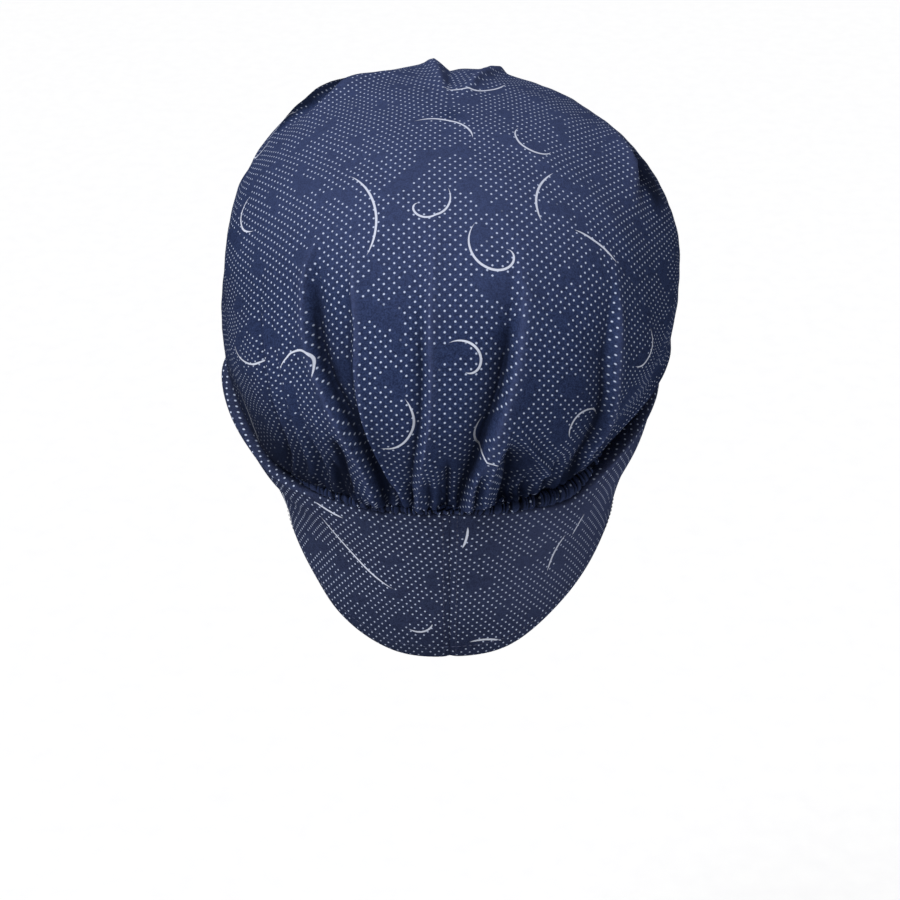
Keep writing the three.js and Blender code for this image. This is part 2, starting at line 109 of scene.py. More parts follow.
# Folds run up from the seam. For each: azimuth at every one of foldSteps and how far beside it, then where
# it starts, is full, fades and ends, its height, and its widths on the low and high azimuth sides.
folds = [
    (leftMain, 0.3, -0.1, 0.06, 0.46, 0.64, -5, 7, 1.8),
    (leftMain, 2, -0.1, 0.08, 0.52, 0.7, 3.2, 1.6, 5.5),
    (leftSecond, 0, -0.1, 0.06, 0.5, 0.74, 2.6, 2.4, 1.3),
    (leftSecond, 1.7, -0.1, 0.1, 0.44, 0.64, -1.8, 1.3, 4),
    (middleFold, 0, -0.1, 0.06, 0.42, 0.62, -2, 1, 3),
    (middleFold, -2, -0.1, 0.06, 0.6, 0.82, 2.3, 3.2, 1.5),
    (rightMain, -1.1, -0.1, 0.06, 0.46, 0.62, -5.5, 1.8, 7),
    (rightMain, -2.7, -0.1, 0.08, 0.52, 0.7, 3.2, 8, 1.6),
    (rightSoft, -2.2, 0, 0.12, 0.34, 0.54, -3.8, 2.2, 10),
    (rightSoft, -4.4, 0.02, 0.16, 0.42, 0.6, 2.6, 6, 2.2),
    (leftSoft, 0, 0, 0.1, 0.34, 0.56, -2.6, 2, 5),
    (leftSoft, -6.5, 0, 0.1, 0.3, 0.5, -2, 1.6, 4.5),
    (leftSoft, -11, 0, 0.06, 0.24, 0.42, -2, 3.5, 1.6),
    ((-8.2, -8.4, -9.3, -11.8, -14, -16, -18, -20), 0, 0, 0.06, 0.22, 0.32, 2.8, 1.6, 2),
    ((-28, -25.4, -18.9, -13, -9, -6, -4, -2), 0, 0.05, 0.12, 0.24, 0.32, 3.4, 2, 2.2),
    (rightHollow, 0, 0, 0.05, 0.16, 0.29, -9, 11, 4),
    (pocket, 0, 0.06, 0.12, 0.18, 0.25, -3, 2, 3),
    (pocket, 4.4, 0.04, 0.1, 0.2, 0.3, 1.6, 2, 3),
    ((13.4, 13.4, 13.6, 14, 14, 14, 14, 14), 0, -0.1, 0, 0.05, 0.15, -3.5, 2, 2),
    ((9.6, 9.8, 10, 10, 10, 10, 10, 10), 0, -0.1, 0, 0.06, 0.17, -3.5, 1.8, 2.2),
    (leftTuck, 0, -0.1, 0, 0.08, 0.2, -4, 1.8, 2.2),
    ((2.4, 2, 1.6, 1.2, 1, 1, 1, 1), 0, -0.1, 0, 0.06, 0.16, -4, 2, 2),
    (centreTuck, 0, -0.1, 0.06, 0.14, 0.24, -4, 1.8, 2.6),
    ((-4.2, -4.6, -6, -8, -9, -9, -9, -9), 0, -0.1, 0.02, 0.14, 0.3, 2, 1.6, 1.6),
    (rightTuck, 0, -0.1, 0, 0.1, 0.22, -4, 1.8, 1.8),
    ((-20.5, -21, -22, -23, -24, -24, -24, -24), 0, -0.1, 0, 0.06, 0.15, -4, 3, 3),
    ((-27, -27.4, -28, -29, -30, -30, -30, -30), 0, -0.1, 0, 0.08, 0.2, -4, 2.4, 3.5),
    (outerTuck, 0, -0.1, 0.02, 0.14, 0.34, -3.2, 4, 5),
    ((34.5, 35, 36, 38, 40, 42, 44, 46), 0, -0.1, 0.02, 0.1, 0.26, -3, 3, 3),
    ((174,) * 8, 0, 0.5, 0.68, 0.84, 0.95, 4, 4, 6),
    ((180,) * 8, 0, 0.4, 0.6, 0.84, 0.95, -3, 5, 5),
    ((196,) * 8, 0, 0.5, 0.68, 0.84, 0.95, 4, 5, 2.5)]
# Painted shade in folds, painted highlight on ridges where negative: as above, with a strength for the
# height.
shades = [
    (leftMain, 0.3, 0, 0.08, 0.44, 0.62, 0.95, 3.4, 1.1),
    (leftMain, 0.7, 0, 0.08, 0.4, 0.58, 0.75, 1.4, 0.7),
    (leftMain, -1.2, 0.1, 0.2, 0.42, 0.58, 0.45, 10, 2),
    (leftMain, 2.6, 0, 0.1, 0.5, 0.7, -0.4, 1.4, 3),
    (leftSecond, 1.1, 0, 0.1, 0.44, 0.62, 0.55, 0.9, 4),
    (leftSecond, -0.2, 0, 0.1, 0.5, 0.72, -0.35, 1.6, 1.2),
    (middleFold, 0, -0.1, 0.03, 0.4, 0.6, 0.8, 0.9, 2),
    (middleFold, -2, 0, 0.08, 0.5, 0.74, -0.4, 2.4, 1.4),
    (rightMain, -1, 0, 0.08, 0.42, 0.58, 0.85, 1.1, 3.2),
    (rightMain, -1.3, 0, 0.08, 0.38, 0.54, 0.75, 0.7, 1.4),
    (rightMain, 1, 0.1, 0.2, 0.4, 0.54, 0.4, 2.5, 10),
    (rightMain, -3.2, 0, 0.1, 0.5, 0.7, -0.4, 3, 1.4),
    (rightSoft, -2, 0, 0.06, 0.24, 0.46, 0.95, 1.8, 9),
    (rightSoft, -4.8, 0, 0.1, 0.4, 0.6, -0.3, 3, 1.6),
    ((84,) * 8, 0, 0, 0.12, 0.36, 0.5, 0.4, 26, 40),
    (leftSoft, 0, 0.02, 0.1, 0.34, 0.5, 0.3, 1.6, 3),
    (rightHollow, 0, 0, 0.04, 0.15, 0.28, 1, 11, 3.6),
    (pocket, 0, 0.04, 0.1, 0.2, 0.26, 2, 2.6, 3),
    (centreTuck, 0, -0.1, 0.02, 0.14, 0.22, 0.8, 1.2, 1.8),
    (leftTuck, 0, -0.1, 0.02, 0.08, 0.18, 0.6, 1.2, 1.5),
    (rightTuck, 0, -0.1, 0.02, 0.1, 0.2, 0.8, 1.3, 1.3),
    (outerTuck, 0, -0.1, 0.02, 0.12, 0.3, 0.5, 3, 4)]
# the crown's turned edge lies in shadow: azimuth, strength, how far up in steps
edgeShade = np.array([
    (-180, 0.2, 0.05), (-120, 0.3, 0.04), (-90, 0.8, 0.05), (-64, 0.8, 0.06), (-45, 0.7, 0.13),
    (-28, 0.5, 0.12), (-10, 0.3, 0.04), (0, 0.3, 0.03), (12, 0.3, 0.04), (26, 0.7, 0.16), (40, 1, 0.3),
    (56, 1, 0.34), (74, 1, 0.2), (90, 0.9, 0.08), (120, 0.3, 0.04), (180, 0.2, 0.05)], float)
# Folds that lie across: from azimuth and step, to azimuth and step, height, width below, width above.
lays = [
    (102, 0.6, 170, 0.615, 3.6, 8, 5),
    (104, 0.64, 168, 0.66, -6, 4, 5),
    (102, 0.71, 172, 0.74, 5, 6, 9),
    (-128, 0.665, -70, 0.545, -7, 13, 4.5),
    (-130, 0.695, -64, 0.58, 4, 5, 9),
    (-112, 0.07, -44, 0.07, 3, 9, 14)]
# painted shade along the folds that lie across, painted highlight where negative; strength in place of height
layShades = [
    (106, 0.602, 166, 0.627, 3.4, 4.6, 2.6),
    (-122, 0.6, -76, 0.505, 2.2, 9, 7),
    (-122, 0.695, -70, 0.595, -0.4, 3, 4)]
# layScale: millimetres of cloth from seam to top; close to the seam every fold is held flat
foldShape = {"layScale": 225, "seamHold": 0.15, "seamRelease": 0.07, "levelBelow": 0.2, "power": 1.3}
pleats = {"count": 9, "pitch": 9.5, "depth": 4, "width": 3.5, "fade": 0.22, "end": 0.6}


def curveThrough(places, values, at):
    # a smooth curve through uneven places; values: (..., knots, axes) and at: (...)
    places = np.asarray(places, float)
    gaps = np.diff(places)
    slopes = np.diff(values, axis=-2) / gaps[:, None]
    tangents = np.concatenate([
        slopes[..., :1, :],
        (slopes[..., :-1, :] * gaps[1:, None] + slopes[..., 1:, :] * gaps[:-1, None])
        / (gaps[1:] + gaps[:-1])[:, None],
        slopes[..., -1:, :]], axis=-2)
    k = np.clip(np.searchsorted(places, at, side="right") - 1, 0, len(places) - 2)
    gap = gaps[k]
    u = ((at - places[k]) / gap)[..., None]
    gap = gap[..., None]

    def pick(rows, n):
        if values.ndim == 2:
            return rows[n]
        return np.take_along_axis(rows, n[..., None, None], -2)[..., 0, :]

    return ((2 * u ** 3 - 3 * u ** 2 + 1) * pick(values, k)
            + (u ** 3 - 2 * u ** 2 + u) * pick(tangents, k) * gap
            + (3 * u ** 2 - 2 * u ** 3) * pick(values, k + 1)
            + (u ** 3 - u ** 2) * pick(tangents, k + 1) * gap)


def wrapDegrees(az):
    return (np.asarray(az, float) + 180) % 360 - 180


def around(table, az):
    # every column of a table at these azimuths, smooth right round the head
    places = np.concatenate([table[-3:-1, 0] - 360, table[:, 0], table[1:3, 0] + 360])
    ring = np.concatenate([table[-3:-1], table, table[1:3]])[:, 1:]
    return curveThrough(places, ring, wrapDegrees(az))


def headRadius(az):
    side, ahead = np.sin(np.radians(az)), np.cos(np.radians(az))
    length = np.where(ahead > 0, head["back"], head["front"])
    return 1 / np.hypot(side / head["halfWidth"], ahead / length)


def placeAt(az, out, z):
    radius = headRadius(az) + out
    return np.stack([np.sin(np.radians(az)) * radius, np.cos(np.radians(az)) * radius, z + 0 * radius], -1)


def bandPoint(az, step):
    row = around(bandTable, az)
    knots = [placeAt(az, row[..., 2 * n], row[..., 2 * n + 1]) for n in range(len(bandSteps))]
    return curveThrough(bandSteps, np.stack(knots, -2), step)


def crownPoint(az, step):
    row = around(crownTable, az)
    start, turn, low, widest = [placeAt(az, row[..., 2 * n], row[..., 2 * n + 1]) for n in range(4)]
    knots = [start, turn, low]
    bulgeStep = crownSteps[len(knots)]
    top = np.array([0, head["topY"], head["topZ"]])
    for place in crownSteps[len(knots):]:
        angle = (place - bulgeStep) / (1 - bulgeStep) * math.pi / 2
        inward = max(math.cos(angle), 0) ** (2 / head["fullness"]) if place < 1 else 0
        rise = math.sin(angle) ** (2 / head["fullness"])
        knots.append(np.concatenate([top[:2] + (widest[..., :2] - top[:2]) * inward,
                                     widest[..., 2:] + (top[2] - widest[..., 2:]) * rise], -1))
    over = knots[-2].copy()
    over[..., :2] = 2 * top[:2] - over[..., :2]
    knots.append(over)
    return curveThrough(crownSteps + [2 - crownSteps[-2]], np.stack(knots, -2), step)


def smoothStep(value):
    u = np.clip(value, 0, 1)
    return u * u * (3 - 2 * u)


def foldProfile(across, low, high):
    return np.exp(-(np.abs(across) / np.where(across < 0, low, high)) ** foldShape["power"])


def fanAzimuth(column, step):
    # column and step: (columns, rows), the same steps in every column
    place = np.clip(step[0], 0, foldSteps[-1])
    across = np.stack([curveThrough(foldSteps, line[:, None], place)[..., 0] for line in fanTable])
    return curveThrough(fanTable[:, 0], across, column[:, 0])


def alongFolds(table, az, step, radius):
    # adds up what every fold of a table gives at these places
    total = 0 * radius
    for line, aside, start, full, fade, end, strength, low, high in table:
        place = np.clip(step, 0, foldSteps[-1])
        middle = curveThrough(foldSteps, np.array(line, float)[:, None], place)[..., 0]
        across = wrapDegrees(az - middle - aside) * math.pi / 180 * radius
        near = smoothStep((step - start) / (full - start))
        far = 1 - smoothStep((step - fade) / (end - fade))
        total += strength * near * far * foldProfile(across, low, high)
    return total


def alongLays(table, az, step):
    total = 0 * az
    for fromAz, fromStep, toAz, toStep, strength, below, above in table:
        along = (az - fromAz) / (toAz - fromAz)
        swell = smoothStep(2 * along) * smoothStep(2 - 2 * along)
        across = (step - (fromStep + (toStep - fromStep) * along)) * foldShape["layScale"]
        total += strength * swell * foldProfile(across, below, above)
    return total


def foldHeight(az, step, radius):
    height = alongFolds(folds, az, step, radius) + alongLays(lays, az, step)
    reach = 1 - smoothStep((step - pleats["fade"]) / (pleats["end"] - pleats["fade"]))
    for n in range(pleats["count"]):
        line = 180 + (n - (pleats["count"] - 1) / 2) * pleats["pitch"]
        across = wrapDegrees(az - line) * math.pi / 180 * radius
        height -= pleats["depth"] * reach * foldProfile(across, pleats["width"], pleats["width"])
    hold = foldShape["seamHold"]
    return height * (hold + (1 - hold) * smoothStep(step / foldShape["seamRelease"]))


def outwardNormal(surface, az, step):
    nudge, turn = 0.004, 0.5
    low = np.minimum(step, 1 - nudge)
    up = surface(az, low + nudge) - surface(az, np.maximum(low - nudge, 0))
    sideways = surface(az + turn, low) - surface(az - turn, low)
    normal = np.cross(up, sideways)
    return normal / np.maximum(np.linalg.norm(normal, axis=-1, keepdims=True), 1e-9)


def spread(spans):
    # uneven columns or rows: (from, to, count) for each stretch
    return np.concatenate([np.linspace(a, b, n, endpoint=False) for a, b, n in spans])


def wallMesh(name, outer, inner, uv, wrapped, topped, paintedShading):
    # a closed cloth wall from an outer and an inner sheet of columns and rows, in millimetres
    columns, rows = outer.shape[:2]
    count = columns * rows
    points = [outer.reshape(-1, 3), inner.reshape(-1, 3)]
    spot = np.arange(count).reshape(columns, rows)  # the inner sheet's come after these
    if wrapped:
        spot = np.concatenate([spot, spot[:1]])
    a, b, c, d = spot[:-1, :-1], spot[:-1, 1:], spot[1:, 1:], spot[1:, :-1]
    quads = [np.stack([a, b, c, d], -1).reshape(-1, 4), np.stack([a, d, c, b], -1).reshape(-1, 4) + count]
    quads.append(np.stack([spot[:-1, 0], spot[1:, 0], spot[1:, 0] + count, spot[:-1, 0] + count], -1))
    faces = []
    if topped:
        points.append(np.stack(topped))
        for i in range(columns):
            j = (i + 1) % columns
            faces.append((spot[i, -1], 2 * count, spot[j, -1]))
            faces.append((spot[i, -1] + count, spot[j, -1] + count, 2 * count + 1))
    else:
        quads.append(np.stack([spot[:-1, -1], spot[:-1, -1] + count, spot[1:, -1] + count, spot[1:, -1]], -1))
    if not wrapped:
        quads.append(np.stack([spot[0, :-1], spot[0, :-1] + count, spot[0, 1:] + count, spot[0, 1:]], -1))
        quads.append(np.stack([spot[-1, :-1], spot[-1, 1:], spot[-1, 1:] + count, spot[-1, :-1] + count], -1))
    faces = np.concatenate(quads).tolist() + [[int(corner) for corner in face] for face in faces]
    mesh = bpy.data.meshes.new(name)
    mesh.from_pydata((np.concatenate(points) * mm).tolist(), [], faces)
    mesh.update()
    layer = mesh.uv_layers.new(name="cloth")
    loops = np.empty(len(mesh.loops), np.int32)
    mesh.loops.foreach_get("vertex_index", loops)
    flat = np.concatenate([uv.reshape(-1, 2), uv.reshape(-1, 2), np.zeros((2, 2))])
    places = flat[np.minimum(loops, 2 * count)]
    if wrapped:
        # the last column of quads wraps, so its far side takes the flat place on the near side's end
        starts = np.empty(len(mesh.polygons), np.int32)
        totals = np.empty(len(mesh.polygons), np.int32)
        mesh.polygons.foreach_get("loop_start", starts)
        mesh.polygons.foreach_get("loop_total", totals)
        column = (loops % count) // rows
        owner = np.repeat(np.arange(len(starts)), totals)
        lastOnes = np.zeros(len(starts), bool)
        lastOnes[owner[(column == columns - 1) & (loops < 2 * count)]] = True
        crossing = lastOnes[owner] & (column == 0) & (loops < 2 * count)
        mirrored = places.copy()
        mirrored[:, 0] = -mirrored[:, 0]
        places[crossing] = mirrored[crossing]
    layer.data.foreach_set("uv", (places * mm).astype(np.float32).ravel())
    mesh.polygons.foreach_set("use_smooth", np.ones(len(mesh.polygons), bool))
    # painted shading on the outer sheet: positive is painted shade, negative a painted highlight
    depth = np.zeros(len(mesh.vertices), np.float32)
    depth[:count] = paintedShading.ravel()
    mesh.attributes.new("paintedShading", "FLOAT", "POINT").data.foreach_set("value", depth)
    mesh.update()
    piece = bpy.data.objects.new(name, mesh)
    bpy.context.scene.collection.objects.link(piece)
    return piece


def addPiece(piece, slotName, *nodes):
    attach(piece, "root")
    if nodes:
        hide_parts(*nodes)


class Sock:
    # a socket that can be used in sums
    def __init__(self, tree, socket):
        self.tree, self.socket = tree, socket

    def do(self, operation, *values):
        return self.tree.node("ShaderNodeMath", {"operation": operation}, *values)

    def __add__(self, other):
        return self.do("ADD", self, other)

    def __radd__(self, other):
        return self.do("ADD", other, self)

    def __sub__(self, other):
        return self.do("SUBTRACT", self, other)

    def __rsub__(self, other):
        return self.do("SUBTRACT", other, self)

    def __mul__(self, other):
        return self.do("MULTIPLY", self, other)

    def __rmul__(self, other):
        return self.do("MULTIPLY", other, self)

    def __truediv__(self, other):
        return self.do("DIVIDE", self, other)

    def __abs__(self):
        return self.do("ABSOLUTE", self)

    def most(self, other):
        return self.do("MAXIMUM", self, other)

    def least(self, other):
        return self.do("MINIMUM", self, other)


class Shader:
    def __init__(self, name):
        self.material = bpy.data.materials.new(name)
        self.material.use_nodes = True
        self.nodes = self.material.node_tree.nodes
        self.links = self.material.node_tree.links
        self.nodes.clear()

    def node(self, kind, settings, *values, out=0, **named):
        made = self.nodes.new(kind)
        for key, value in settings.items():
            setattr(made, key, value)
        for key, value in list(enumerate(values)) + list(named.items()):
            name = key if isinstance(key, int) else key.replace("_", " ")
            if isinstance(value, Sock):
                self.links.new(value.socket, made.inputs[name])
            else:
                made.inputs[name].default_value = value
        return Sock(self, made.outputs[out]) if made.outputs else None

    def beside(self, sock, out):
        # another output of the same node
        return Sock(self, sock.socket.node.outputs[out])

    def ramp(self, value, low, high):
        # smooth 0 to 1 between low and high
        settings = {"interpolation_type": "SMOOTHSTEP"}
        return self.node("ShaderNodeMapRange", settings, value, low, high, 0.0, 1.0)

    def noise(self, place, scale, detail, roughness):
        # an unevenness of the flat cloth
        return self.node("ShaderNodeTexNoise", {"noise_dimensions": "2D"}, place,
                         Scale=scale, Detail=detail, Roughness=roughness)

    def vector(self, operation, *values, out=0):
        return self.node("ShaderNodeVectorMath", {"operation": operation}, *values, out=out)

    def mix(self, factor, a, b):
        made = self.nodes.new("ShaderNodeMix")
        made.data_type = "RGBA"
        for name, value in ((0, factor), (6, a), (7, b)):
            if isinstance(value, Sock):
                self.links.new(value.socket, made.inputs[name])
            else:
                made.inputs[name].default_value = value
        return Sock(self, made.outputs[2])


# the print: pin dots on a staggered lattice, bare islands and thin drawn strokes, in millimetres of cloth
printLook = {"pitch": 3.0, "dot": 0.42, "soft": 0.2,
             "islandSize": 0.075, "islandCut": 0.63, "islandEdge": 0.003,
             "strokeWidth": 0.529, "strokeFade": (-0.12, 0.1),
             "ink": (0.52, 0.59, 0.77, 1), "strokeInk": (0.66, 0.7, 0.82, 1)}
# the darkest and lightest of the cloth's ground; the band's, greyer and less blue, is the same cloth with
# painted shade
navy = {"crown": ((0.009, 0.0135, 0.038, 1), (0.034, 0.052, 0.13, 1)),
        "band": ((0.012, 0.0155, 0.036, 1), (0.036, 0.048, 0.104, 1))}
# how much each unevenness counts in the ground's colour, and the painted fold shade and ridge highlight
clothLook = {"broad": 0.2, "grain": 0.5, "mottle": 0.3, "weave": 0.1, "weaveScale": 0.62,
             "paintedFoldShade": (0.003, 0.0045, 0.011, 1), "paintedFoldShadeShare": 0.8,
             "paintedRidgeHighlight": (0.12, 0.145, 0.3, 1), "paintedRidgeHighlightShare": 0.3,
             "rough": 0.78, "weaveHeight": 0.05, "fibreHeight": 0.03, "crinkleHeight": 0.5}


def clothMaterial(name, grain, offset, strokes, tone):
    # strokes: tapering arcs, each with centre u, centre v, radius, growth by turn, middle angle, half angle
    sh = Shader(name)
    uv = sh.node("ShaderNodeUVMap", {"uv_map": "cloth"})
    cloth = sh.vector("MULTIPLY", uv, (1 / mm, 1 / mm, 1 / mm))
    turned = sh.node("ShaderNodeMapping", {"vector_type": "TEXTURE"}, cloth,
                     (offset[0], offset[1], 0), (0, 0, math.radians(grain)),
                     (printLook["pitch"], printLook["pitch"], 1))
    cell = sh.vector("FLOOR", turned)
    middle = sh.vector("ADD", cell, (0.5, 0.5, 0))
    away = sh.vector("SUBTRACT", turned, middle)
    flatAway = sh.vector("MULTIPLY", away, (1, 1, 0))
    distance = sh.vector("LENGTH", flatAway, out=1) * printLook["pitch"]
    dot = 1 - sh.ramp(distance, printLook["dot"] - printLook["soft"], printLook["dot"] + printLook["soft"])
    islands = sh.noise(middle, printLook["pitch"] * printLook["islandSize"], 1.2, 0.5)
    cut, edge = printLook["islandCut"], printLook["islandEdge"]
    printed = 1 - sh.ramp(islands, cut - edge, cut + edge)
    dots = dot * printed
    drawn = None
    for cu, cv, radius, growth, angle, half in strokes:
        arm = sh.node("ShaderNodeMapping", {"vector_type": "TEXTURE"}, cloth,
                      (cu, cv, 0), (0, 0, math.radians(angle)))
        parts = sh.node("ShaderNodeSeparateXYZ", {}, arm)
        turn = sh.node("ShaderNodeMath", {"operation": "ARCTAN2"}, sh.beside(parts, 1), parts)
        off = abs(sh.vector("LENGTH", arm, out=1) - (turn * growth + radius))
        share = turn / math.radians(half)
        slim = 1 - share * share * share * share
        reach = off - slim * printLook["strokeWidth"]
        drawn = reach if drawn is None else drawn.least(reach)
    fibres = sh.noise(cloth, 1.3, 4.0, 0.75)
    broad = sh.noise(cloth, 0.03, 2.0, 0.5)
    mottle = sh.noise(cloth, 0.4, 3.0, 0.7)
    crinkle = sh.noise(cloth, 0.22, 3.0, 0.55)
    warp, weft = (sh.node("ShaderNodeTexWave", {"wave_type": "BANDS", "bands_direction": way}, cloth,
                          Scale=clothLook["weaveScale"], Distortion=0.6, Detail=1.0, Detail_Scale=1.0)
                  for way in "XY")
    weave = warp * weft
    shade = (clothLook["broad"] * broad + clothLook["grain"] * sh.ramp(fibres, 0.4, 0.62)
             + clothLook["mottle"] * sh.ramp(mottle, 0.3, 0.7) + clothLook["weave"] * weave)
    ground = sh.mix(shade, *navy[tone])
    coloured = sh.mix(dots * (0.75 + 0.35 * fibres).least(1.0), ground, printLook["ink"])
    stroke = 1 - sh.ramp(drawn, *printLook["strokeFade"])
    coloured = sh.mix(stroke * (0.82 + 0.2 * fibres).least(1.0), coloured, printLook["strokeInk"])
    # painted shade in folds and creases and painted highlights on ridges, from the piece's shading attribute
    folded = sh.node("ShaderNodeAttribute", {"attribute_name": "paintedShading"}, out=2)
    coloured = sh.mix(folded.most(0.0) * clothLook["paintedFoldShadeShare"], coloured, clothLook["paintedFoldShade"])
    coloured = sh.mix((0 - folded).most(0.0) * clothLook["paintedRidgeHighlightShare"], coloured, clothLook["paintedRidgeHighlight"])
    rough = clothLook["rough"] + 0.16 * fibres - 0.05 * dots
    height = (clothLook["weaveHeight"] * weave + clothLook["fibreHeight"] * fibres
              + clothLook["crinkleHeight"] * crinkle)
    bump = sh.node("ShaderNodeBump", {}, Strength=0.5, Distance=0.0006, Height=height)
    surface = sh.node("ShaderNodeBsdfPrincipled", {}, Base_Color=coloured, Roughness=rough, Normal=bump,
                      Sheen_Weight=0.006, Sheen_Roughness=0.5, Specular_IOR_Level=0.0)
    sh.node("ShaderNodeOutputMaterial", {}, surface)
    return sh.material


def threadMaterial(name):
    sh = Shader(name)
    place = sh.node("ShaderNodeTexCoord", {}, out=3)
    twist = sh.node("ShaderNodeTexWave", {"wave_type": "BANDS", "bands_direction": "DIAGONAL"}, place,
                    Scale=900.0, Distortion=1.0)
    fuzz = sh.node("ShaderNodeTexNoise", {}, place, Scale=3000.0, Detail=2.0)
    colour = sh.mix(0.6 * twist + 0.4 * fuzz, (0.016, 0.021, 0.055, 1), (0.05, 0.06, 0.13, 1))
    bump = sh.node("ShaderNodeBump", {}, Strength=0.6, Distance=0.0001, Height=twist)
    surface = sh.node("ShaderNodeBsdfPrincipled", {}, Base_Color=colour, Roughness=0.55 + 0.2 * fuzz,
                      Normal=bump)
    sh.node("ShaderNodeOutputMaterial", {}, surface)
    return sh.material


crownLook = {
    "columns": [(-180, -150, 24), (-150, -60, 46), (-60, -34, 34), (-34, -20, 24), (-20, -6, 30),
                (-6, -3, 10), (-3, -0.6, 12), (-0.6, 2, 12), (2, 8, 26), (8, 12.4, 36), (12.4, 16.4, 42),
                (16.4, 19, 12), (19, 34.5, 50), (34.5, 60, 40), (60, 150, 42), (150, 180, 22)],
    "rows": [(0, 0.03, 6), (0.03, 0.12, 18), (0.12, 0.3, 24), (0.3, 0.97, 52)],
    "lastRow": 0.97, "wall": 1.1, "ripple": 0.5,
    "gathers": [(2.2, 0.55, 0.06, 2.0), (5.3, 1.15, 0.13, 2.6)],  # pitch, depth, reach, unevenness
    "gatheredTo": 42, "gatheredFade": 16,
    "drawnIn": 0.35, "drawnInReach": 0.13, "drawnUp": 0.1, "drawnUpReach": 0.22,
    "sewnFrom": 40, "sewnOver": 9, "sewnReach": 0.024, "tuck": 0.4,
    "turnFrom": 75, "turnOver": 40, "grain": 45, "offset": (0, 0)}
# Painted shade where the cloth lies below the cloth beside it and painted highlight where it lies above it,
# painted light on top and painted shade low down: each with a strength, where it begins and over how many
# millimetres.
crownPaintedLight = {"below": (0.4, 0.5, 2.5), "above": (0.25, 0.2, 2), "top": (0.5, 86, 56), "low": (0.16, -5, 75),
             "reach": 7}
# for each long wave: its strength, then twice its turn by x, y and z and where it starts
rippleWaves = [(1, (0.11, 0.05, 0), 1.3, (0, -0.07, 0.09), 0.4),
               (0.6, (0.19, 0, -0.13), 2.1, (0, 0.21, 0), 0.9),
               (0.35, (0.37, 0, 0.23), 0, (0, 0.33, -0.29), 1.7)]
# centre u, centre v, radius, growth by turn, middle angle, half angle, in millimetres and degrees of cloth
crownStrokes = [
    (62, 78, 34, 9, 205, 38), (12, 62, 7, 3.2, 95, 120), (-22, 84, 9, -3.6, 80, 125),
    (-58, 66, 24, -7, 330, 36), (70, 128, 10, 2.4, 250, 95), (20, 118, 120, 0, 20, 7),
    (-6, 132, 7, 2.2, 200, 105), (-46, 128, 60, 0, 250, 12), (34, 160, 16, 4, 165, 60),
    (-24, 168, 12, -3, 20, 70), (-70, 156, 9, 2.6, 315, 90), (78, 170, 50, 6, 100, 16),
    (-92, 112, 14, 3, 160, 62), (96, 96, 24, -5, 60, 40), (4, 24, 18, 4, 250, 55),
    (50, 22, 70, 0, 310, 10), (-44, 20, 11, -3, 40, 80), (-94, 34, 40, 5, 190, 22),
    (100, 30, 13, 3, 20, 66), (0, -50, 26, 5, 120, 42), (56, -62, 12, 3, 220, 80),
    (-62, -60, 80, 0, 330, 10), (10, -112, 30, -6, 250, 34), (112, -34, 16, 4, 70, 60),
    (-112, -40, 20, 4, 190, 48), (44, -120, 50, 0, 200, 14), (-48, -118, 10, 3, 30, 90),
    (86, -104, 22, 4, 300, 40)]


def crownRipple(points, step):
    # a slight unevenness in the cloth, from a few long waves
    waves = sum(strength * np.sin(points @ turn + start) * np.sin(points @ otherTurn + otherStart)
                for strength, turn, start, otherTurn, otherStart in rippleWaves)
    return crownLook["ripple"] * waves * smoothStep(step / 0.15) * (1 - smoothStep((step - 0.85) / 0.15))


def toned(kind, value):
    strength, start, over = crownPaintedLight[kind]
    return strength * smoothStep((value - start) / over)


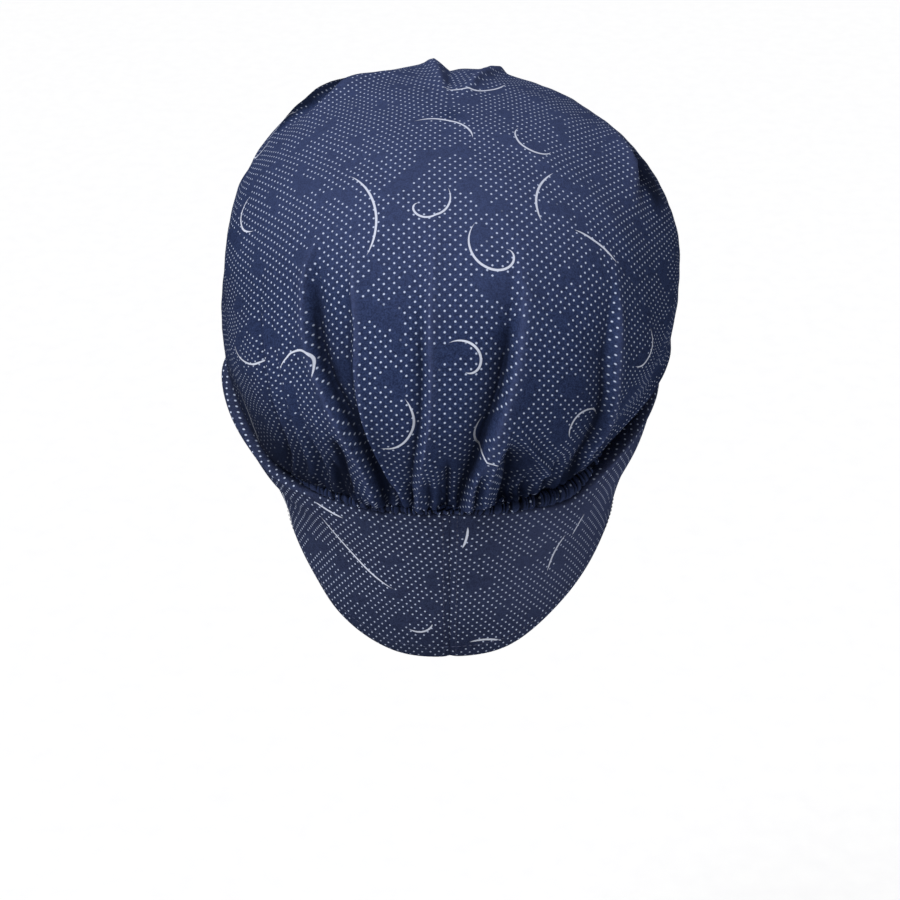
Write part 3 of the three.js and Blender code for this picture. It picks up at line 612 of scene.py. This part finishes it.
def makeCrown():
    columns = spread(crownLook["columns"])
    rows = np.concatenate([spread(crownLook["rows"]), [crownLook["lastRow"]]])
    column, step = np.meshgrid(columns, rows, indexing="ij")
    az = fanAzimuth(column, step)
    base = crownPoint(az, step)
    normal = outwardNormal(crownPoint, az, step)
    radius = np.hypot(base[..., 0], base[..., 1] - head["topY"])
    level = normal * [1, 1, 0]
    level /= np.maximum(np.linalg.norm(level, axis=-1, keepdims=True), 1e-9)
    share = smoothStep(step / foldShape["levelBelow"])[..., None]
    outward = level * (1 - share) + normal * share
    outward /= np.linalg.norm(outward, axis=-1, keepdims=True)
    rise = foldHeight(az, step, radius) + crownRipple(base, step)
    # gathers that the casing draws up, of two sizes and uneven, strongest round the back
    behind = 1 - smoothStep((np.abs(column) - crownLook["gatheredTo"]) / crownLook["gatheredFade"])
    along = column * math.pi / 180 * head["back"]
    for pitch, depth, reach, uneven in crownLook["gathers"]:
        sway = uneven * np.sin(column * 0.31 + pitch) + np.sin(column * 0.83)
        wave = np.sin(along / pitch * 2 * math.pi + sway)
        fade = reach * (0.75 + 0.35 * np.sin(column * 0.47 + pitch * 3))
        rise += wave * depth * behind * (1 - smoothStep(step / fade)) * smoothStep(step / 0.01 + 0.35)
    outer = base + outward * rise[..., None]
    # beyond the casing's ends the first rows draw in to the band's rim, where they are sewn
    sewn = smoothStep((np.abs(az) - crownLook["sewnFrom"]) / crownLook["sewnOver"])
    sewn = sewn * (1 - smoothStep(step / crownLook["sewnReach"]))
    seam = bandPoint(az[:, :1], np.ones((len(columns), 1))) - outer[:, :1] - [0, 0, crownLook["tuck"]]
    outer = outer + seam * sewn[..., None]
    inner = outer - normal * crownLook["wall"]
    # the flat place of each point: true lengths along the rows and down the back, laid out round the top
    top = np.array([0, head["topY"], head["topZ"]])
    backLine = crownPoint(np.zeros(len(rows) + 1), np.append(rows, 1.0))
    steps = np.linalg.norm(np.diff(backLine, axis=0), axis=-1)
    steps *= 1 - crownLook["drawnIn"] * (1 - smoothStep(rows / crownLook["drawnInReach"]))
    fromTop = np.cumsum(steps[::-1])[::-1]
    smooth, folded = (np.linalg.norm(np.diff(sheet, axis=0), axis=-1) for sheet in (base, outer))
    stride = 0.3 * smooth + 0.7 * folded
    drawnUp = 1 + crownLook["drawnUp"] * (1 - smoothStep(rows / crownLook["drawnUpReach"]))
    # towards the front the flat pattern turns as the head does, which keeps the dots there round
    ahead = smoothStep((np.abs(az[1:]) - crownLook["turnFrom"]) / crownLook["turnOver"])
    sweep = stride * drawnUp / fromTop * (1 - ahead) + np.radians(np.diff(az, axis=0)) * ahead
    turn = np.concatenate([np.zeros((1, len(rows))), np.cumsum(sweep, axis=0)])
    turn -= [np.interp(0, az[:, n], turn[:, n]) for n in range(len(rows))]
    uv = np.stack([np.sin(turn) * fromTop, np.cos(turn) * fromTop], -1)
    tops = (top, top - [0, 0, crownLook["wall"]])
    # painted shade inside the folds and along the turned edge, painted highlights on ridges
    reach = crownPaintedLight["reach"]
    beside = sum(np.roll(rise, n, 0) for n in range(-reach, reach + 1)) / (2 * reach + 1)
    amount, edgeReach = (np.interp(az, edgeShade[:, 0], edgeShade[:, n]) for n in (1, 2))
    edge = amount * (1 - smoothStep(step / edgeReach))
    across = alongLays(layShades, az, step)
    paintedShading = alongFolds(shades, az, step, radius) + across + edge
    paintedShading = (paintedShading + toned("below", beside - rise)).clip(-1, 1) - toned("above", rise - beside)
    # painted light a little on top and painted shade low down, and neither where cloth is laid over
    height = base[..., 2]
    paintedHeightLight = crownPaintedLight["low"][0] - toned("low", height) - toned("top", height)
    paintedShading += paintedHeightLight * (1 - smoothStep(across / 0.6))
    piece = wallMesh("crown_cloth", outer, inner, uv, True, tops, paintedShading)
    piece.data.materials.append(
        clothMaterial("navyDottedCloth", crownLook["grain"], crownLook["offset"], crownStrokes, "crown"))
    addPiece(piece, "printed_cloth", "crown")
    return piece


panelLook = {"wall": 1.4, "seamDip": 0.9, "seamWidth": 2.2, "hemRoll": 0.5, "ripple": 0.35, "edgeIn": 0.35,
             "rows": [(0, 0.04, 5), (0.04, 0.8, 34), (0.8, 1, 20)], "frontRun": 150}
# painted shade in the casing's crease and at the hem, painted light on one side: where each begins and over
# how much
panelPaintedLight = {"crease": (0.955, 0.03), "creaseLeast": 0.2, "aside": 30,
             "hem": (0.5, -94, 44), "paintedSideLight": (55, 40)}
panels = {
    "nape_panel_left_cloth": {
        "node": "nape_panel_left", "from": 0, "to": 100, "columns": 190,
        "grain": 40, "offset": (7, 3), "paintedSideLight": 0,
        "strokes": [(-8, 33, 90, 0, 308, 15), (49, 35, 50, 0, 280, 9), (14, -66, 8, 2, 260, 50),
                    (84, -50, 24, 5, 20, 40)]},
    "nape_panel_right_cloth": {
        "node": "nape_panel_right", "from": -100, "to": 0, "columns": 190,
        "grain": 48, "offset": (2, 9), "paintedSideLight": 0.5,
        "strokes": [(22.5, -9, 30, 0, 190, 12), (-108, -58, 60, 0, 20, 10), (-120, -46, 60, 0, 20, 6),
                    (-16, -104, 24, 0, 95, 20)]},
    "front_band_cloth": {
        "node": "front_band", "from": 100, "to": 260, "columns": 200,
        "grain": 45, "offset": (0, 0), "paintedSideLight": 0,
        "strokes": [(190, -20, 24, 4, 60, 40), (240, -10, 50, 0, 250, 16), (290, -24, 12, 3, 130, 75)]}}


def makeBand(name, look):
    columns = np.linspace(look["from"], look["to"], look["columns"])
    rows = np.concatenate([spread(panelLook["rows"]), [1.0]])
    az, step = np.meshgrid(columns, rows, indexing="ij")
    base = bandPoint(az, step)
    normal = outwardNormal(bandPoint, az, step)
    x, y, z = (base[..., n] for n in range(3))
    ripple = panelLook["ripple"] * np.sin(x * 0.09 + z * 0.05) * np.sin(y * 0.08 - z * 0.11 + 1.1)
    atSeam = np.minimum(np.abs(az - look["from"]), np.abs(look["to"] - az)) * math.pi / 180 * headRadius(az)
    dip = -panelLook["seamDip"] * np.exp(-(atSeam / panelLook["seamWidth"]) ** 1.3)
    hem = panelLook["hemRoll"] * np.exp(-((step - 0.06) / 0.05) ** 2)
    rise = ripple * smoothStep(step / 0.1) * smoothStep((1 - step) / 0.1) + dip + hem
    outer = base + normal * rise[..., None]
    inner = outer - normal * panelLook["wall"]
    # the hem's edge is rounded: its first rows draw in
    drawnIn = normal * (1 - smoothStep(step / 0.012))[..., None] * panelLook["wall"] * panelLook["edgeIn"]
    outer = outer - drawnIn
    inner = inner + drawnIn
    middleRow = len(rows) // 2
    stride = np.linalg.norm(np.diff(base[:, middleRow], axis=0), axis=-1)
    run = np.concatenate([[0], np.cumsum(stride)])
    if look["to"] <= 0:
        run -= run[-1]
    elif look["from"] > 0:
        run += panelLook["frontRun"]
    # flat heights follow the height, and the true length where the cloth turns outwards
    climb = np.linalg.norm(np.diff(base, axis=1), axis=-1)
    extra = np.concatenate([np.zeros((len(z), 1)), np.cumsum(climb, axis=1)], axis=1) - z
    uv = np.stack([np.broadcast_to(run[:, None], z.shape), z + extra - extra[:, middleRow:middleRow + 1]], -1)
    # painted shade in the crease, stronger aside; painted shade towards the hem; painted light on one side of
    # a panel
    aside = np.abs(az) / panelPaintedLight["aside"]
    start, over = panelPaintedLight["crease"]
    paintedShading = np.clip(aside, panelPaintedLight["creaseLeast"], 1) * smoothStep((step - start) / over)
    strength, start, over = panelPaintedLight["hem"]
    paintedShading += strength * (1 - smoothStep((z - start) / over)) * (z < 0)
    start, over = panelPaintedLight["paintedSideLight"]
    paintedShading -= look["paintedSideLight"] * smoothStep(aside) * (1 - smoothStep((np.abs(az) - start) / over))
    piece = wallMesh(name, outer, inner, uv, False, None, paintedShading)
    piece.data.materials.append(
        clothMaterial(name + "Print", look["grain"], look["offset"], look["strokes"], "band"))
    addPiece(piece, "printed_cloth", look["node"])
    return piece


class Nodes:
    # builds one geometry tree with named inputs
    def __init__(self, name, inputs):
        self.tree = bpy.data.node_groups.new(name, "GeometryNodeTree")
        self.tree.interface.new_socket("Geometry", in_out="INPUT", socket_type="NodeSocketGeometry")
        for label, (kind, value) in inputs.items():
            socket = self.tree.interface.new_socket(label, in_out="INPUT", socket_type=kind)
            socket.default_value = value
        self.tree.interface.new_socket("Geometry", in_out="OUTPUT", socket_type="NodeSocketGeometry")
        self.start = self.tree.nodes.new("NodeGroupInput")
        self.end = self.tree.nodes.new("NodeGroupOutput")

    def given(self, label):
        return self.start.outputs[label]

    def add(self, kind, settings=None, out=0, **values):
        made = self.tree.nodes.new(kind)
        for key, value in (settings or {}).items():
            setattr(made, key, value)
        for key, value in values.items():
            # n0, n1 and so on stand for sockets by number, other words for their names
            byNumber = key[0] == "n" and key[1:].isdigit()
            socket = made.inputs[int(key[1:]) if byNumber else key.replace("_", " ")]
            if isinstance(value, bpy.types.NodeSocket):
                self.tree.links.new(value, socket)
            else:
                socket.default_value = value
        return made.outputs[out]

    def maths(self, operation, a, b=0.0):
        return self.add("ShaderNodeMath", {"operation": operation}, n0=a, n1=b)

    def finish(self, geometry, material):
        whole = self.add("GeometryNodeRealizeInstances", Geometry=geometry)
        painted = self.add("GeometryNodeSetMaterial", Geometry=whole, Material=material)
        self.tree.links.new(painted, self.end.inputs[0])
        return self.tree


def runTree(name, carrier, tree, values):
    # sets the named inputs, evaluates once and keeps the result as a plain mesh
    modifier = carrier.modifiers.new("shape", "NODES")
    modifier.node_group = tree
    for item in tree.interface.items_tree:
        if item.in_out == "INPUT" and item.name in values:
            modifier[item.identifier] = values[item.name]
    bpy.context.view_layer.update()
    evaluated = carrier.evaluated_get(bpy.context.evaluated_depsgraph_get())
    mesh = bpy.data.meshes.new_from_object(evaluated)
    carrier.modifiers.remove(modifier)
    bpy.data.objects.remove(carrier)
    mesh.name = name
    piece = bpy.data.objects.new(name, mesh)
    bpy.context.scene.collection.objects.link(piece)
    return piece


def pathObject(name, lines, widths=None):
    # one poly spline for each line of points, with its radii, in millimetres
    data = bpy.data.curves.new(name, "CURVE")
    data.dimensions = "3D"
    for n, line in enumerate(lines):
        spline = data.splines.new("POLY")
        spline.points.add(len(line) - 1)
        spline.points.foreach_set("co", np.concatenate(
            [np.asarray(line) * mm, np.ones((len(line), 1))], axis=1).astype(np.float32).ravel())
        if widths:
            spline.points.foreach_set("radius", (widths[n] * mm).astype(np.float32))
    carrier = bpy.data.objects.new(name, data)
    bpy.context.scene.collection.objects.link(carrier)
    return carrier


# the capitalised ones are the tree's inputs, in metres
casingLook = {"from": -60, "to": 60, "stations": 160, "overlap": 0.6, "outward": 0.4,
              "sections": 900, "sides": 20, "swayPitch": 34.0, "sway": 16.0, "roundness": 0.7, "middle": 0.72,
              "endPitch": 9.0, "endRoundness": 0.6, "bulkScale": 420.0,
              "Ruches": 74.0, "Ruche depth": 0.0019, "Fullness": 1.0, "Unevenness": 0.001, "Seed": 4}


def casingTree(material):
    t = Nodes("ruchedCasing", {
        "Ruches": ("NodeSocketFloat", 90.0), "Ruche depth": ("NodeSocketFloat", 0.0006),
        "Fullness": ("NodeSocketFloat", 1.0), "Unevenness": ("NodeSocketFloat", 0.0005),
        "Seed": ("NodeSocketInt", 1)})
    path = t.add("GeometryNodeResampleCurve", Curve=t.given("Geometry"), Count=casingLook["sections"])
    along = t.add("GeometryNodeSplineParameter")
    place = t.maths("ADD", t.maths("MULTIPLY", along, casingLook["swayPitch"]), t.given("Seed"))
    sway = t.add("ShaderNodeTexNoise", {"noise_dimensions": "1D"}, W=place, Scale=1.0, Detail=1.0)
    phase = t.maths("ADD", t.maths("MULTIPLY", along, t.maths("MULTIPLY", t.given("Ruches"), 2 * math.pi)),
                    t.maths("MULTIPLY", sway, casingLook["sway"]))
    # full rounds with narrow creases between them
    swing = t.maths("ABSOLUTE", t.maths("SINE", t.maths("MULTIPLY", phase, 0.5)))
    puff = t.maths("POWER", swing, casingLook["roundness"])
    ruche = t.maths("MULTIPLY", t.maths("SUBTRACT", puff, casingLook["middle"]), t.given("Ruche depth"))
    toEnd = t.maths("MINIMUM", along, t.maths("SUBTRACT", 1.0, along))
    nearEnd = t.maths("MULTIPLY", toEnd, casingLook["endPitch"])
    taper = t.maths("MINIMUM", t.maths("POWER", nearEnd, casingLook["endRoundness"]), 1.0)
    own = t.maths("MULTIPLY", t.add("GeometryNodeInputRadius"), t.given("Fullness"))
    radius = t.maths("MULTIPLY", taper, t.maths("ADD", own, ruche))
    # painted shade in the creases between the rounds, kept on the path for the tube
    creased = t.add("GeometryNodeStoreNamedAttribute", {"data_type": "FLOAT", "domain": "POINT"},
                    Geometry=path, Name="paintedShading", Value=t.maths("SUBTRACT", 1.0, puff))
    ring = t.add("GeometryNodeCurvePrimitiveCircle", Resolution=casingLook["sides"], Radius=1.0)
    tube = t.add("GeometryNodeCurveToMesh", Curve=creased, Profile_Curve=ring, Scale=radius, Fill_Caps=True)
    bulk = t.add("ShaderNodeTexNoise", {"noise_dimensions": "3D"}, out=1, Scale=casingLook["bulkScale"],
                 Detail=2.0)
    shift = t.add("ShaderNodeVectorMath", {"operation": "SUBTRACT"}, n0=bulk, n1=(0.5, 0.5, 0.5))
    scaled = t.add("ShaderNodeVectorMath", {"operation": "SCALE"}, n0=shift, Scale=t.given("Unevenness"))
    moved = t.add("GeometryNodeSetPosition", Geometry=tube, Offset=scaled)
    smooth = t.add("GeometryNodeSetShadeSmooth", Geometry=moved)
    return t.finish(smooth, material)


def makeCasing():
    az = np.linspace(casingLook["from"], casingLook["to"], casingLook["stations"])
    below = bandPoint(az, np.ones(len(az)))
    row = around(crownTable, az)
    above = placeAt(az, row[:, 0], row[:, 1])
    outward = np.stack([np.sin(np.radians(az)), np.cos(np.radians(az)), 0 * az], -1)
    line = (below + above) / 2 + outward * casingLook["outward"]
    half = np.linalg.norm(above - below, axis=-1) / 2 + casingLook["overlap"]
    tree = casingTree(casingMaterial("ruchedCasingCloth"))
    piece = runTree("elastic_casing_cloth", pathObject("casingPath", [line], [half]), tree, casingLook)
    addPiece(piece, "ruched_cloth", "elastic_casing")
    return piece


def casingMaterial(name):
    sh = Shader(name)
    place = sh.node("ShaderNodeTexCoord", {}, out=3)
    spots = sh.node("ShaderNodeTexVoronoi", {"feature": "F1"}, place, Scale=330.0, Randomness=0.55)
    dot = 1 - sh.ramp(spots, 0.14, 0.22)
    bare = sh.node("ShaderNodeTexNoise", {}, place, Scale=60.0, Detail=1.0)
    fibres = sh.node("ShaderNodeTexNoise", {}, place, Scale=1800.0, Detail=3.0)
    ground = sh.mix(fibres, navy["crown"][0], (0.034, 0.05, 0.12, 1))
    coloured = sh.mix(dot * sh.ramp(bare, 0.3, 0.4), ground, printLook["ink"])
    # painted shade in the creases between the rounds, near black
    creased = sh.node("ShaderNodeAttribute", {"attribute_name": "paintedShading"}, out=2)
    coloured = sh.mix(sh.ramp(creased, 0.1, 0.7) * 0.85, coloured, (0.002, 0.003, 0.007, 1))
    weave = sh.node("ShaderNodeTexWave", {"wave_type": "BANDS", "bands_direction": "Z"}, place,
                    Scale=600.0, Distortion=1.0)
    bump = sh.node("ShaderNodeBump", {}, Strength=0.4, Distance=0.0002, Height=0.5 * weave + 0.5 * fibres)
    surface = sh.node("ShaderNodeBsdfPrincipled", {}, Base_Color=coloured, Roughness=0.8 + 0.15 * fibres,
                      Normal=bump, Sheen_Weight=0.01, Sheen_Roughness=0.4, Specular_IOR_Level=0.03)
    sh.node("ShaderNodeOutputMaterial", {}, surface)
    return sh.material


# the capitalised ones are the tree's inputs, in metres
stitchLook = {"Pitch": 0.0026, "Length": 0.0017, "Thickness": 0.00032, "Seed": 7,
              "seams": (-1.9, 1.9, 98.2, 101.8, -98.2, -101.8), "seamSteps": (0.02, 0.985),
              "hems": ((1, 99.5), (-99.5, -1), (100.5, 259.5)),
              "hemStep": 0.075, "lift": 0.12, "hemLift": 0.57}


def stitchTree(material):
    t = Nodes("stitchRun", {"Pitch": ("NodeSocketFloat", 0.0026), "Length": ("NodeSocketFloat", 0.0018),
                            "Thickness": ("NodeSocketFloat", 0.0003), "Seed": ("NodeSocketInt", 1)})
    spaced = t.add("GeometryNodeCurveToPoints", {"mode": "LENGTH"}, Curve=t.given("Geometry"),
                   Length=t.given("Pitch"))
    turn = t.tree.nodes[-1].outputs["Rotation"]
    bead = t.add("GeometryNodeMeshUVSphere", Segments=6, Rings=4, Radius=0.5)
    size = t.add("ShaderNodeCombineXYZ", X=t.given("Thickness"), Y=t.given("Thickness"), Z=t.given("Length"))
    shaped = t.add("GeometryNodeTransform", Geometry=bead, Scale=size)
    jitter = t.add("FunctionNodeRandomValue", {"data_type": "FLOAT"}, out=1, n2=0.85, n3=1.15,
                   Seed=t.given("Seed"))
    placed = t.add("GeometryNodeInstanceOnPoints", Points=spaced, Instance=shaped, Rotation=turn,
                   Scale=jitter)
    return t.finish(placed, material)


def stitchLines():
    # beside the centre back seam, along the hem and along the side seams
    lines = []
    rows = np.linspace(*stitchLook["seamSteps"], 90)
    for az in stitchLook["seams"]:
        spot = np.full(len(rows), az)
        lines.append(bandPoint(spot, rows) + outwardNormal(bandPoint, spot, rows) * stitchLook["lift"])
    for low, high in stitchLook["hems"]:
        spot = np.linspace(low, high, 260)
        rows = np.full(len(spot), stitchLook["hemStep"])
        lines.append(bandPoint(spot, rows) + outwardNormal(bandPoint, spot, rows) * stitchLook["hemLift"])
    return lines


def makeStitches():
    tree = stitchTree(threadMaterial("navyThread"))
    piece = runTree("seam_stitches", pathObject("stitchPath", stitchLines()), tree, stitchLook)
    addPiece(piece, "ruched_cloth")
    return piece


stageLook = {"floorZ": -1.6, "floorSize": 60.0, "floorTones": ((0.9, 0.9, 0.91, 1), (0.95, 0.95, 0.95, 1)),
             "distance": 0.9, "elevation": 30, "focal": 77.8, "sensor": 36,
             "look": (0.0, 0.0, 0.035), "lower": 0.0532,
             "sunFrom": (0.38, 0.5, 1.15), "sunSpread": 30, "sunPower": 3.55, "fill": 0.1}


def makeStage():
    mesh = bpy.data.meshes.new("floor")
    half = stageLook["floorSize"] / 2
    corners = [(x * half, y * half, stageLook["floorZ"]) for x, y in ((-1, -1), (1, -1), (1, 1), (-1, 1))]
    mesh.from_pydata(corners, [], [(0, 1, 2, 3)])
    floor = bpy.data.objects.new("floor", mesh)
    bpy.context.scene.collection.objects.link(floor)
    sh = Shader("paleFloor")
    place = sh.node("ShaderNodeTexCoord", {}, out=3)
    grain = sh.node("ShaderNodeTexNoise", {}, place, Scale=30.0, Detail=2.0)
    colour = sh.mix(grain, *stageLook["floorTones"])
    surface = sh.node("ShaderNodeBsdfPrincipled", {}, Base_Color=colour, Roughness=0.9)
    sh.node("ShaderNodeOutputMaterial", {}, surface)
    mesh.materials.append(sh.material)
    light = bpy.data.lights.new("key", "SUN")
    light.energy = stageLook["sunPower"]
    light.angle = math.radians(stageLook["sunSpread"])
    lamp = bpy.data.objects.new("key", light)
    lamp.rotation_euler = (-Vector(stageLook["sunFrom"])).to_track_quat("-Z", "Y").to_euler()
    bpy.context.scene.collection.objects.link(lamp)
    world = bpy.data.worlds.new("softRoom")
    world.use_nodes = True
    # a dim white fill light, seen by the camera as a pale backdrop
    nodes = world.node_tree.nodes
    links = world.node_tree.links
    backdrop = nodes["Background"]
    backdrop.inputs["Color"].default_value = (1, 1, 1, 1)
    seen = nodes.new("ShaderNodeLightPath")
    strength = nodes.new("ShaderNodeMapRange")
    strength.inputs["To Min"].default_value = stageLook["fill"]
    strength.inputs["To Max"].default_value = 1.0
    links.new(seen.outputs["Is Camera Ray"], strength.inputs["Value"])
    links.new(strength.outputs["Result"], backdrop.inputs["Strength"])
    bpy.context.scene.world = world
    bpy.context.scene.view_settings.view_transform = "Standard"
    camera = bpy.data.cameras.new("camera")
    camera.lens = stageLook["focal"]
    camera.sensor_width = stageLook["sensor"]
    eye = bpy.data.objects.new("camera", camera)
    tilt = math.radians(stageLook["elevation"])
    away = Vector((0, math.cos(tilt), math.sin(tilt)))
    up = Vector((0, -math.sin(tilt), math.cos(tilt)))
    eye.location = Vector(stageLook["look"]) + away * stageLook["distance"]
    aim = Vector(stageLook["look"]) - up * stageLook["lower"]
    eye.rotation_euler = (aim - eye.location).to_track_quat("-Z", "Y").to_euler()
    bpy.context.scene.collection.objects.link(eye)
    bpy.context.scene.camera = eye


makeStage()
print("stage ready")
crownPiece = makeCrown()
print("crown ready", len(crownPiece.data.polygons))
bandPieces = [makeBand(name, look) for name, look in panels.items()]
print("panels and band ready")
casingPiece = makeCasing()
print("casing ready", len(casingPiece.data.polygons))
stitchPiece = makeStitches()
print("stitches ready", len(stitchPiece.data.polygons))

# half the surface of a closed cloth wall is its cloth's area, in square metres
for piece in [crownPiece, casingPiece] + bandPieces:
    print(piece.name, "area", round(sum(face.area for face in piece.data.polygons) / 2, 4))
